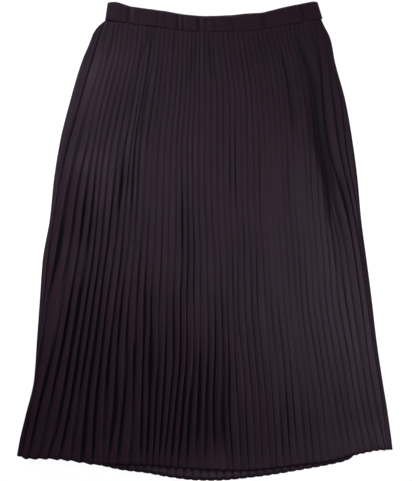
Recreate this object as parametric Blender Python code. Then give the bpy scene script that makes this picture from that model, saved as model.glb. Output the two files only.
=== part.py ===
# Pleated midi skirt with an elastic waist, lying flat on its back.
#
# Metres, +Z up. The skirt rests on z = 0, waist towards +Y and hem towards -Y.
# A length down the skirt is a "drop", counted from the waistband's highest corner.
# Each piece is one cloth wall, lofted through sections that run across the skirt.

import math
from collections import namedtuple

import bpy
import bmesh

# Cloth
CLOTH = 0.0010          # wall of the pleated panels
CASING = 0.0022         # wall of the waistband: cloth folded over its elastic
CASING_FOLD = 0.0014    # the same wall where it thins out along its edges
SEAM_GAP = 0.0003       # clearance between pieces that are sewn together

# Pleats
FIRST = -1              # number of the front's first fold, counted from the left
LAST = 47               # number of its last fold
REAR_FOLDS = 46         # folds across the back
REAR_STEEP = 0.30       # part of a back pleat's width taken by its steep side
LAND_SHARE = 0.16       # part of it pressed flat where the back lies on the floor
TOOTH = 0.0030          # how far a ridge's hem hangs below its valley's
LEAD = 2.0              # how far a tall ridge stands left of its line, in heights
ROOM = 0.0030           # least space between folds that run along a side
FULL_PITCH = 0.0060     # closer folds than this stand lower
TALLEST = 0.52          # highest a pleat may stand, as part of the space before its fold
SIDE_FADE = 0.0080      # pleats within this distance of a side stand lower
SHOULDER_RISE = 0.0008  # height of the rounded right side over the plain level
SHARPEST = 1.6          # longest mitre of a fold, in half walls
SETTLING = 8            # rounds that place a slanting line on a curved section

# Waistband
REAR_RISE = 0.0016      # how far its back edge shows above its front edge
FRONT_LEVEL = 0.0054    # height of the front layer's middle
END_STEPS = 4           # steps of the rounded fold at each end
GATHER_HALF = 0.0036    # half the width of a gather

Side = namedtuple("Side", "drop left right")
OUTLINE = (
    Side(0.034, -0.1750, 0.2030),
    Side(0.041, -0.1840, 0.2060),
    Side(0.055, -0.1942, 0.2138),
    Side(0.069, -0.1992, 0.2188),
    Side(0.103, -0.2132, 0.2248),
    Side(0.172, -0.2332, 0.2428),
    Side(0.241, -0.2502, 0.2548),
    Side(0.310, -0.2612, 0.2638),
    Side(0.378, -0.2682, 0.2698),
    Side(0.447, -0.2802, 0.2788),
    Side(0.516, -0.2852, 0.2878),
    Side(0.585, -0.2902, 0.2958),
    Side(0.654, -0.2952, 0.3058),
    Side(0.722, -0.3112, 0.3168),
    Side(0.757, -0.3192, 0.3208),
    Side(0.774, -0.3220, 0.3210),
)

# Where some of the folds run: x at eleven drops, the others lie evenly between
GUIDE_DROPS = (0.030, 0.069, 0.103, 0.172, 0.258, 0.344, 0.430, 0.516, 0.602, 0.688, 0.800)
Guide = namedtuple("Guide", "number waist yoke belly hip seat thigh lap knee calf shin hem")
GUIDES = (
    Guide(-1, -0.172, -0.187, -0.196, -0.215, -0.240, -0.257, -0.270, -0.279, -0.288, -0.299, -0.322),
    Guide(0, -0.166, -0.175, -0.181, -0.200, -0.222, -0.239, -0.253, -0.270, -0.283, -0.298, -0.321),
    Guide(1, -0.156, -0.162, -0.170, -0.187, -0.206, -0.222, -0.234, -0.251, -0.265, -0.284, -0.307),
    Guide(3, -0.141, -0.146, -0.151, -0.167, -0.184, -0.193, -0.203, -0.217, -0.232, -0.246, -0.272),
    Guide(5, -0.122, -0.127, -0.132, -0.146, -0.163, -0.172, -0.181, -0.193, -0.205, -0.218, -0.234),
    Guide(8, -0.100, -0.102, -0.105, -0.115, -0.129, -0.136, -0.144, -0.155, -0.165, -0.172, -0.177),
    Guide(9, -0.091, -0.095, -0.098, -0.110, -0.122, -0.127, -0.134, -0.144, -0.151, -0.155, -0.168),
    Guide(12, -0.068, -0.071, -0.074, -0.081, -0.091, -0.095, -0.100, -0.105, -0.108, -0.110, -0.113),
    Guide(17, -0.029, -0.031, -0.031, -0.034, -0.040, -0.040, -0.040, -0.043, -0.043, -0.050, -0.060),
    Guide(20, -0.009, -0.009, -0.010, -0.010, -0.012, -0.012, -0.009, -0.009, -0.009, -0.012, -0.017),
    Guide(23, 0.012, 0.014, 0.017, 0.021, 0.021, 0.022, 0.026, 0.028, 0.029, 0.028, 0.033),
    Guide(26, 0.036, 0.041, 0.045, 0.052, 0.052, 0.053, 0.057, 0.057, 0.062, 0.069, 0.074),
    Guide(32, 0.086, 0.093, 0.100, 0.108, 0.112, 0.114, 0.119, 0.124, 0.132, 0.139, 0.147),
    Guide(38, 0.136, 0.144, 0.153, 0.163, 0.170, 0.174, 0.181, 0.186, 0.198, 0.212, 0.227),
    Guide(42, 0.167, 0.175, 0.184, 0.196, 0.205, 0.212, 0.222, 0.229, 0.244, 0.258, 0.279),
    Guide(44, 0.182, 0.187, 0.193, 0.202, 0.210, 0.221, 0.243, 0.255, 0.267, 0.280, 0.304),
    Guide(45, 0.189, 0.196, 0.200, 0.205, 0.215, 0.239, 0.256, 0.268, 0.279, 0.292, 0.316),
    Guide(46, 0.196, 0.208, 0.214, 0.220, 0.232, 0.251, 0.267, 0.279, 0.291, 0.305, 0.318),
    Guide(47, 0.200, 0.213, 0.220, 0.234, 0.243, 0.259, 0.274, 0.285, 0.296, 0.310, 0.319),
)

# Edges that run across the skirt: x and drop
Mark = namedtuple("Mark", "x drop")
WAIST_SEAM = (
    Mark(-0.175, 0.0340),
    Mark(-0.112, 0.0430),
    Mark(-0.069, 0.0482),
    Mark(-0.036, 0.0530),
    Mark(0.002, 0.0550),
    Mark(0.046, 0.0542),
    Mark(0.096, 0.0510),
    Mark(0.138, 0.0430),
    Mark(0.203, 0.0310),
)
WAIST_TOP = (
    Mark(-0.167, 0.0034),
    Mark(-0.156, 0.0030),
    Mark(-0.127, 0.0098),
    Mark(-0.064, 0.0198),
    Mark(0.002, 0.0279),
    Mark(0.046, 0.0261),
    Mark(0.096, 0.0213),
    Mark(0.138, 0.0117),
    Mark(0.189, 0.0025),
)
FRONT_HEM = (
    Mark(-0.322, 0.7820),
    Mark(-0.304, 0.7890),
    Mark(-0.268, 0.7895),
    Mark(-0.236, 0.7920),
    Mark(-0.181, 0.8000),
    Mark(-0.106, 0.8010),
    Mark(-0.057, 0.8046),
    Mark(0.002, 0.8090),
    Mark(0.060, 0.8110),
    Mark(0.112, 0.8070),
    Mark(0.169, 0.8000),
    Mark(0.213, 0.7950),
    Mark(0.243, 0.7850),
    Mark(0.278, 0.7740),
    Mark(0.300, 0.7725),
    Mark(0.322, 0.7710),
)
BACK_HEM = (
    Mark(-0.320, 0.7800),
    Mark(-0.249, 0.7901),
    Mark(-0.181, 0.8018),
    Mark(-0.140, 0.8091),
    Mark(-0.100, 0.8136),
    Mark(-0.064, 0.8211),
    Mark(-0.012, 0.8274),
    Mark(0.014, 0.8278),
    Mark(0.086, 0.8211),
    Mark(0.169, 0.8071),
    Mark(0.242, 0.7931),
    Mark(0.270, 0.7780),
    Mark(0.320, 0.7690),
)
WAIST_ENDS = {"seam": (-0.172, 0.202), "top": (-0.167, 0.189)}

# How deep the back's pleats stand at a share of the way from the waist seam to the hem
Depth = namedtuple("Depth", "share depth")
DEPTHS = (
    Depth(0.00, 0.0020),
    Depth(0.03, 0.0032),
    Depth(0.10, 0.0040),
    Depth(0.30, 0.0052),
    Depth(0.60, 0.0062),
    Depth(1.00, 0.0070),
)

# The front's pleats at some folds: how high they stand, then the part of their width
# taken by their steep side
FACE_FOLDS = (2, 9, 17, 25, 34, 42, 46)
Face = namedtuple("Face", "drop side left inner middle outer right edge")
HEIGHTS = (
    Face(0.050, 0.0012, 0.0012, 0.0012, 0.0012, 0.0012, 0.0012, 0.0012),
    Face(0.103, 0.0016, 0.0016, 0.0016, 0.0016, 0.0016, 0.0016, 0.0016),
    Face(0.172, 0.0019, 0.0019, 0.0019, 0.0019, 0.0019, 0.0019, 0.0019),
    Face(0.258, 0.0020, 0.0019, 0.0019, 0.0019, 0.0019, 0.0019, 0.0019),
    Face(0.344, 0.0028, 0.0019, 0.0019, 0.0019, 0.0019, 0.0019, 0.0020),
    Face(0.430, 0.0032, 0.0023, 0.0019, 0.0019, 0.0019, 0.0019, 0.0019),
    Face(0.533, 0.0040, 0.0037, 0.0023, 0.0019, 0.0019, 0.0019, 0.0019),
    Face(0.636, 0.0042, 0.0042, 0.0026, 0.0019, 0.0019, 0.0019, 0.0019),
    Face(0.730, 0.0038, 0.0046, 0.0030, 0.0022, 0.0019, 0.0019, 0.0019),
    Face(0.765, 0.0034, 0.0040, 0.0030, 0.0021, 0.0019, 0.0019, 0.0019),
    Face(0.800, 0.0026, 0.0028, 0.0024, 0.0019, 0.0019, 0.0019, 0.0019),
)
STEEP_SHARES = (
    Face(0.050, 0.25, 0.25, 0.24, 0.24, 0.24, 0.24, 0.25),
    Face(0.172, 0.40, 0.32, 0.24, 0.24, 0.24, 0.24, 0.25),
    Face(0.344, 0.42, 0.34, 0.25, 0.24, 0.24, 0.24, 0.25),
    Face(0.430, 0.36, 0.24, 0.24, 0.24, 0.24, 0.24, 0.24),
    Face(0.533, 0.26, 0.24, 0.26, 0.24, 0.24, 0.24, 0.24),
    Face(0.636, 0.24, 0.24, 0.24, 0.26, 0.24, 0.24, 0.24),
    Face(0.730, 0.24, 0.24, 0.26, 0.24, 0.25, 0.25, 0.25),
    Face(0.800, 0.40, 0.38, 0.34, 0.32, 0.32, 0.32, 0.32),
)

# Folds that stand taller, or have a wider steep side, along a stretch: shares of both
Accent = namedtuple("Accent", "number drop reach taller wider")
ACCENTS = (
    Accent(9, 0.300, 0.160, 0.3, 0.3),
    Accent(10, 0.250, 0.200, 0.5, 0.6),
    Accent(11, 0.240, 0.200, 0.5, 0.7),
    Accent(12, 0.270, 0.160, -0.4, 0.0),
    Accent(13, 0.620, 0.060, 0.3, 0.9),
    Accent(10, 0.740, 0.060, -0.4, 0.2),
    Accent(11, 0.740, 0.060, -0.3, 0.2),
    Accent(2, 0.745, 0.040, -0.3, 0.2),
    Accent(3, 0.745, 0.040, -0.3, 0.2),
    Accent(20, 0.100, 0.050, 0.4, 0.4),
    Accent(21, 0.110, 0.050, 0.4, 0.4),
    Accent(33, 0.140, 0.060, 0.3, 0.4),
    Accent(36, 0.170, 0.060, 0.5, 0.5),
    Accent(44, 0.430, 0.110, 0.5, 0.2),
    Accent(46, 0.300, 0.120, 0.5, 0.2),
)

# The roll of cloth left of the first fold: its height down the skirt, then its section
Roll = namedtuple("Roll", "drop height")
SIDE_ROLL = (
    Roll(0.050, 0.0008),
    Roll(0.103, 0.0018),
    Roll(0.172, 0.0030),
    Roll(0.344, 0.0034),
    Roll(0.602, 0.0026),
    Roll(0.757, 0.0012),
)
Step = namedtuple("Step", "across up")
ROLL_STEPS = (Step(0.30, 0.75), Step(0.50, 1.00), Step(0.78, 0.45))

# Lines along the broad swells of the front: where each runs and how far it stands
# over the plain level
Crest = namedtuple("Crest", "drop x rise")
LEFT_ROLL = (
    Crest(0.052, -0.166, 0.0002),
    Crest(0.103, -0.176, 0.0022),
    Crest(0.155, -0.181, 0.0056),
    Crest(0.198, -0.186, 0.0064),
    Crest(0.249, -0.198, 0.0022),
    Crest(0.327, -0.208, 0.0040),
    Crest(0.430, -0.222, 0.0038),
    Crest(0.533, -0.232, 0.0028),
    Crest(0.740, -0.249, 0.0014),
    Crest(0.808, -0.258, 0.0008),
)
LEFT_MIDDLE = (
    Crest(0.052, -0.112, 0.0004),
    Crest(0.103, -0.115, 0.0022),
    Crest(0.155, -0.119, 0.0030),
    Crest(0.249, -0.124, 0.0014),
    Crest(0.327, -0.132, 0.0015),
    Crest(0.533, -0.150, 0.0022),
    Crest(0.740, -0.163, 0.0018),
    Crest(0.808, -0.167, 0.0000),
)
MIDDLE = (
    Crest(0.052, -0.017, 0.0003),
    Crest(0.155, -0.009, 0.0014),
    Crest(0.249, 0.000, 0.0024),
    Crest(0.430, 0.017, 0.0020),
    Crest(0.636, 0.026, 0.0025),
    Crest(0.740, 0.029, 0.0020),
    Crest(0.808, 0.031, 0.0000),
)
DIAGONAL_CREST = (
    Crest(0.052, 0.052, 0.0004),
    Crest(0.103, 0.077, 0.0060),
    Crest(0.155, 0.108, 0.0100),
    Crest(0.198, 0.136, 0.0110),
    Crest(0.249, 0.163, 0.0100),
    Crest(0.327, 0.184, 0.0080),
    Crest(0.430, 0.202, 0.0066),
    Crest(0.533, 0.219, 0.0050),
    Crest(0.740, 0.244, 0.0026),
    Crest(0.808, 0.249, 0.0000),
)
TROUGH_EDGE = (
    Crest(0.052, 0.130, 0.0002),
    Crest(0.103, 0.143, 0.0040),
    Crest(0.155, 0.160, 0.0074),
    Crest(0.198, 0.172, 0.0086),
    Crest(0.249, 0.182, 0.0084),
    Crest(0.327, 0.202, 0.0066),
    Crest(0.430, 0.218, 0.0056),
    Crest(0.533, 0.238, 0.0042),
    Crest(0.740, 0.266, 0.0020),
    Crest(0.808, 0.270, 0.0000),
)
TROUGH = (
    Crest(0.052, 0.164, 0.0000),
    Crest(0.103, 0.180, 0.0002),
    Crest(0.155, 0.191, 0.0004),
    Crest(0.198, 0.196, 0.0005),
    Crest(0.249, 0.202, 0.0010),
    Crest(0.327, 0.218, 0.0020),
    Crest(0.430, 0.232, 0.0028),
    Crest(0.533, 0.253, 0.0024),
    Crest(0.740, 0.284, 0.0014),
    Crest(0.808, 0.288, 0.0000),
)
RIGHT_SHOULDER = (
    Crest(0.052, 0.194, 0.0002),
    Crest(0.103, 0.203, 0.0012),
    Crest(0.179, 0.209, 0.0022),
    Crest(0.249, 0.220, 0.0028),
    Crest(0.327, 0.237, 0.0038),
    Crest(0.430, 0.258, 0.0036),
    Crest(0.533, 0.274, 0.0026),
    Crest(0.740, 0.300, 0.0012),
)
SWELL_LINES = (LEFT_ROLL, LEFT_MIDDLE, MIDDLE, DIAGONAL_CREST, TROUGH_EDGE, TROUGH, RIGHT_SHOULDER)

FRONT_SHARES = (0, 0.02, 0.05, 0.09, 0.13, 0.17, 0.21, 0.26, 0.31, 0.37, 0.43, 0.50,
                0.57, 0.64, 0.71, 0.78, 0.85, 0.91, 0.96, 1)
BACK_SHARES = (0, 0.04, 0.12, 0.26, 0.42, 0.58, 0.74, 0.88, 1)

# Gathers of the waistband: x and depth of each, on its front and on its back
Gather = namedtuple("Gather", "x depth")
FRONT_GATHERS = (
    Gather(-0.1445, 0.0005),
    Gather(-0.1290, 0.0009),
    Gather(-0.1050, 0.0003),
    Gather(-0.0808, 0.0005),
    Gather(-0.0550, 0.0007),
    Gather(-0.0464, 0.0012),
    Gather(-0.0280, 0.0003),
    Gather(-0.0086, 0.0012),
    Gather(0.0017, 0.0007),
    Gather(0.0155, 0.0005),
    Gather(0.0290, 0.0003),
    Gather(0.0413, 0.0007),
    Gather(0.0507, 0.0012),
    Gather(0.0690, 0.0003),
    Gather(0.0877, 0.0005),
    Gather(0.1045, 0.0011),
    Gather(0.1260, 0.0004),
    Gather(0.1500, 0.0004),
    Gather(0.1737, 0.0008),
    Gather(0.1858, 0.0007),
)
BACK_GATHERS = (
    Gather(-0.146, 0.0006),
    Gather(-0.121, 0.0004),
    Gather(-0.096, 0.0006),
    Gather(-0.070, 0.0005),
    Gather(-0.041, 0.0006),
    Gather(-0.019, 0.0004),
    Gather(0.013, 0.0006),
    Gather(0.037, 0.0005),
    Gather(0.060, 0.0004),
    Gather(0.091, 0.0006),
    Gather(0.114, 0.0005),
    Gather(0.139, 0.0006),
    Gather(0.164, 0.0004),
)

# Height up the waistband, and its wall's thickness there
Level = namedtuple("Level", "share wall")
BAND_LEVELS = (
    Level(0.00, CASING_FOLD),
    Level(0.10, CASING),
    Level(0.50, CASING),
    Level(0.90, CASING),
    Level(1.00, CASING_FOLD),
)

# base colour, roughness
AUBERGINE = ((0.033, 0.019, 0.028, 1.0), 0.62)
AUBERGINE_BAND = ((0.031, 0.018, 0.026, 1.0), 0.66)


def mix(low, high, share):
    return low + (high - low) * share


class Curve:
    """A smooth line through points that never overshoots them, straight past its ends."""

    def __init__(self, points):
        self.points = [tuple(point) for point in points]
        spans = list(zip(self.points, self.points[1:]))
        rises = [(b[1] - a[1]) / (b[0] - a[0]) for a, b in spans]
        inner = [2 * p * q / (p + q) if p * q > 0 else 0.0 for p, q in zip(rises, rises[1:])]
        self.slopes = [rises[0], *inner, rises[-1]]

    def __call__(self, at):
        points = self.points
        if at <= points[0][0]:
            return points[0][1] + (at - points[0][0]) * self.slopes[0]
        if at >= points[-1][0]:
            return points[-1][1] + (at - points[-1][0]) * self.slopes[-1]
        index = next(i for i, point in enumerate(points) if point[0] > at) - 1
        (x0, y0), (x1, y1) = points[index], points[index + 1]
        width = x1 - x0
        t = (at - x0) / width
        bend0 = self.slopes[index] * width * t * (1 - t) ** 2
        bend1 = self.slopes[index + 1] * width * t * t * (t - 1)
        return mix(y0, y1, t * t * (3 - 2 * t)) + bend0 + bend1


class Edge(Curve):
    """The same kind of line for an edge across the skirt, level past its ends."""

    def __call__(self, at):
        return super().__call__(min(max(at, self.points[0][0]), self.points[-1][0]))


def by_fold(table):
    """One curve of the drop for each fold, from a table with a column for some of them."""
    columns = range(FACE_FOLDS[0], FACE_FOLDS[-1])
    rows = [(row.drop, Curve(zip(FACE_FOLDS, row[1:]))) for row in table]
    curves = {}
    for number in range(FIRST, LAST + 1):
        column = min(max(number, columns.start), columns.stop)
        curves[number] = Edge([(drop, across(column)) for drop, across in rows])
    return curves


left_side = Curve([(row.drop, row.left) for row in OUTLINE])
right_side = Curve([(row.drop, row.right) for row in OUTLINE])
guides = [(row.number, Curve(zip(GUIDE_DROPS, row[1:]))) for row in GUIDES]
waist_seam = Edge(WAIST_SEAM)
waist_top = Edge(WAIST_TOP)
front_hem = Edge(FRONT_HEM)
back_hem = Edge(BACK_HEM)
depth_at = Curve(DEPTHS)
side_roll = Edge(SIDE_ROLL)
heights = by_fold(HEIGHTS)
steep_shares = by_fold(STEEP_SHARES)
swell_lines = [(Edge([(row.drop, row.x) for row in line]),
                Edge([(row.drop, row.rise) for row in line])) for line in SWELL_LINES]


def fold_x(number, drop):
    """Where a fold of the front lies, at a distance down the skirt."""
    x = Curve([(guide, line(drop)) for guide, line in guides])(number)
    x = max(x, left_side(drop) + ROOM * (number - FIRST + 1))
    return min(x, right_side(drop) - ROOM * (LAST + 1 - number))


def settle(x_of, hem, share):
    """Follow a line down to one section: its x and its drop there."""
    drop = mix(waist_seam(0), hem(0), share)
    for _ in range(SETTLING):
        x = x_of(drop)
        drop = mix(waist_seam(x), hem(x), share)
    return x, drop


def bump(distance):
    """1 at the middle, falling smoothly to 0 at a distance of 1."""
    return max(0.0, 1 - distance * distance) ** 2


def accent(number, drop):
    """How much taller a fold stands there, and how much wider its steep side is."""
    taller, wider = 1.0, 1.0
    for row in ACCENTS:
        if row.number == number:
            near = bump((drop - row.drop) / row.reach)
            taller += row.taller * near
            wider += row.wider * near
    return taller, wider


def swell_across(drop):
    """Height of the broad swells over the plain level, as a curve across the skirt."""
    knots = [(left_side(drop), 0.0)]
    knots += [(x(drop), rise(drop)) for x, rise in swell_lines]
    return Edge(knots + [(right_side(drop), 0.0)])


def back_top(share):
    """Height that no part of the back panel passes, which the front panel rests on."""
    return depth_at(share) + CLOTH / 2 * (1 + SHARPEST)


def front_path(share):
    """One section of the front: x, height and tooth of each corner, left to right."""
    rest = back_top(share) + SEAM_GAP
    base = rest + CLOTH / 2 * SHARPEST
    left, left_drop = settle(left_side, front_hem, share)
    right, right_drop = settle(right_side, front_hem, share)
    path = []
    for number in range(FIRST, LAST + 1):
        x, drop = settle(lambda drop: fold_x(number, drop), front_hem, share)
        before = x - fold_x(number - 1, drop)
        pitch = (fold_x(number + 1, drop) - x + before) / 2
        taller, wider = accent(number, drop)
        near = min(x - left_side(drop), right_side(drop) - x)
        height = heights[number](drop) * taller * min(1.0, pitch / FULL_PITCH, near / SIDE_FADE)
        height = min(height, TALLEST * before)
        steep = steep_shares[number](drop) * wider * pitch
        lead = min(max(steep, height / (1 / LEAD + height / pitch)), before)
        swell = swell_across(drop)
        ridge = x - lead / 2
        valley = ridge + steep
        if number == FIRST:
            valley = x
        else:
            path += [(ridge, base + swell(ridge) + height, 0.0)]
        path += [(valley, base + swell(valley), TOOTH)]
    swell = swell_across(left_drop)
    start = left + CLOTH / 2
    wide = path[0][0] - start
    roll = min(side_roll(left_drop), TALLEST / 2 * wide)
    rounded = []
    for step in ROLL_STEPS:
        x = start + step.across * wide
        rounded += [(x, base + swell(x) + step.up * roll, TOOTH * (1 - step.up))]
    end = right - CLOTH / 2
    shoulder = (path[-1][0] + end) / 2
    path = [(start, rest, TOOTH / 2), *rounded, *path]
    path += [(shoulder, base + SHOULDER_RISE + swell_across(right_drop)(shoulder), TOOTH / 2)]
    path += [(end, rest, TOOTH / 2)]
    return path


def back_path(share):
    """One section of the back: its folds lie evenly and their lowest parts lie on the floor."""
    depth = depth_at(share)
    floor = CLOTH / 2
    top = back_top(share)
    left = settle(left_side, back_hem, share)[0]
    right = settle(right_side, back_hem, share)[0]
    pitch = (right - left - 2 * CLOTH) / REAR_FOLDS
    path = [(left + CLOTH / 2, top, TOOTH / 2)]
    for number in range(REAR_FOLDS):
        start = left + CLOTH + (number + REAR_STEEP) * pitch
        path += [(start, floor, TOOTH), (start + LAND_SHARE * pitch, floor, TOOTH)]
        if number < REAR_FOLDS - 1:
            path += [(start + (1 - REAR_STEEP) * pitch, floor + depth, 0.0)]
    path += [(right - CLOTH / 2, top, TOOTH / 2)]
    return path


def direction(a, b):
    length = math.hypot(b[0] - a[0], b[1] - a[1])
    return (b[0] - a[0]) / length, (b[1] - a[1]) / length


def wall_sides(path, wall, end_turn=None):
    """Offset a section to both sides by half a wall, with a mitre at each fold.

    end_turn is +1 where the wall's ends come up from below, -1 where they come down
    from above, and None on a ring. Each path point keeps what follows its x and height.
    """
    sides = [], []
    count = len(path)
    for index, (x, z, *rest) in enumerate(path):
        if end_turn is not None and index in (0, count - 1):
            offset = (-end_turn if index == 0 else end_turn, 0.0)
        else:
            ax, az = direction(path[index - 1], path[index])
            bx, bz = direction(path[index], path[(index + 1) % count])
            spread = 1 + ax * bx + az * bz
            offset = (-(az + bz) / spread, (ax + bx) / spread)
        for side, sign in zip(sides, (1, -1)):
            half = sign * wall / 2
            side.append((x + offset[0] * half, z + offset[1] * half, *rest))
    return sides


def loft(name, uppers, lowers, ring=False):
    """Close a wall between two stacks of sections that have the same number of points."""
    mesh_edit = bmesh.new()
    stacks = [[[mesh_edit.verts.new(point) for point in row] for row in rows]
              for rows in (uppers, lowers)]
    upper, lower = stacks
    count = len(upper[0])
    spans = [(i, (i + 1) % count) for i in range(count if ring else count - 1)]
    for rows in stacks:
        for near, far in zip(rows, rows[1:]):
            for i, j in spans:
                mesh_edit.faces.new((near[i], near[j], far[j], far[i]))
    for row in (0, -1):
        for i, j in spans:
            mesh_edit.faces.new((upper[row][i], upper[row][j], lower[row][j], lower[row][i]))
    if not ring:
        for column in (0, -1):
            for row in range(len(upper) - 1):
                mesh_edit.faces.new((upper[row][column], upper[row + 1][column],
                                     lower[row + 1][column], lower[row][column]))
    bmesh.ops.recalc_face_normals(mesh_edit, faces=mesh_edit.faces)
    mesh = bpy.data.meshes.new(name)
    mesh_edit.to_mesh(mesh)
    mesh_edit.free()
    piece = bpy.data.objects.new(name, mesh)
    bpy.context.scene.collection.objects.link(piece)
    return piece


def panel(name, path_of, hem, shares, end_turn):
    """A pleated panel between the waist seam and its hem."""
    stacks = [], []
    for share in shares:
        for stack, side in zip(stacks, wall_sides(path_of(share), CLOTH, end_turn)):
            row = []
            for x, z, tooth in side:
                drop = mix(waist_seam(x) + SEAM_GAP / 2, hem(x) - tooth, share)
                row.append((x, -drop, z))
            stack.append(row)
    return loft(name, *stacks)


def gathered(table, level, dip):
    """Half of the band's ring, left to right: flat stretches between pinched gathers."""
    points = []
    for row in table:
        points += [(row.x - GATHER_HALF, level)]
        points += [(row.x, level + dip * row.depth)]
        points += [(row.x + GATHER_HALF, level)]
    return points


def band_ring():
    """The waistband seen from above its edge: x and height round the folded ring."""
    left, right = WAIST_ENDS["seam"]
    floor = CASING / 2
    radius = (FRONT_LEVEL - floor) / 2
    middle = floor + radius
    reach = radius + CASING / 2
    turn = [math.pi * step / END_STEPS for step in range(END_STEPS + 1)]
    front = gathered(FRONT_GATHERS, FRONT_LEVEL, -1)
    back = gathered(BACK_GATHERS, floor, 1)
    right_end = [(right - reach + radius * math.sin(a), middle + radius * math.cos(a))
                 for a in turn]
    left_end = [(left + reach - radius * math.sin(a), middle - radius * math.cos(a))
                for a in turn]
    return front + right_end + back[::-1] + left_end


def waistband():
    """A casing round the waist, folded flat: one closed ring with gathers."""
    seam_ends = WAIST_ENDS["seam"]
    top_ends = WAIST_ENDS["top"]
    ring = band_ring()
    stacks = [], []
    for level in BAND_LEVELS:
        for stack, side in zip(stacks, wall_sides(ring, level.wall)):
            row = []
            for x, z in side:
                across = (x - seam_ends[0]) / (seam_ends[1] - seam_ends[0])
                top_x = mix(*top_ends, across)
                rear = max(0.0, 1 - z / FRONT_LEVEL) * math.sin(math.pi * min(max(across, 0), 1))
                top = waist_top(top_x) - REAR_RISE * rear
                drop = mix(waist_seam(x) - SEAM_GAP / 2, top, level.share)
                row.append((mix(x, top_x, level.share), -drop, z))
            stack.append(row)
    return loft("waistband", *stacks, ring=True)


def cloth_material(name, colour, roughness):
    material = bpy.data.materials.new(name)
    material.use_nodes = True
    shader = material.node_tree.nodes["Principled BSDF"]
    shader.inputs["Base Color"].default_value = colour
    shader.inputs["Roughness"].default_value = roughness
    shader.inputs["Metallic"].default_value = 0.0
    return material


def centre(pieces):
    """Place the pieces so that the middle of the skirt's outline is at x = y = 0."""
    corners = [vertex.co for piece in pieces for vertex in piece.data.vertices]
    for axis in (0, 1):
        values = [corner[axis] for corner in corners]
        middle = (min(values) + max(values)) / 2
        for piece in pieces:
            piece.location[axis] = -middle


for old in list(bpy.data.objects):
    bpy.data.objects.remove(old, do_unlink=True)

front_panel = panel("front_panel", front_path, front_hem, FRONT_SHARES, 1)
back_panel = panel("back_panel", back_path, back_hem, BACK_SHARES, -1)
band = waistband()
front_panel.data.materials.append(cloth_material("front_cloth", *AUBERGINE))
back_panel.data.materials.append(cloth_material("back_cloth", *AUBERGINE))
band.data.materials.append(cloth_material("band_cloth", *AUBERGINE_BAND))
centre([front_panel, back_panel, band])
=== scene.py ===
import math

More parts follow.
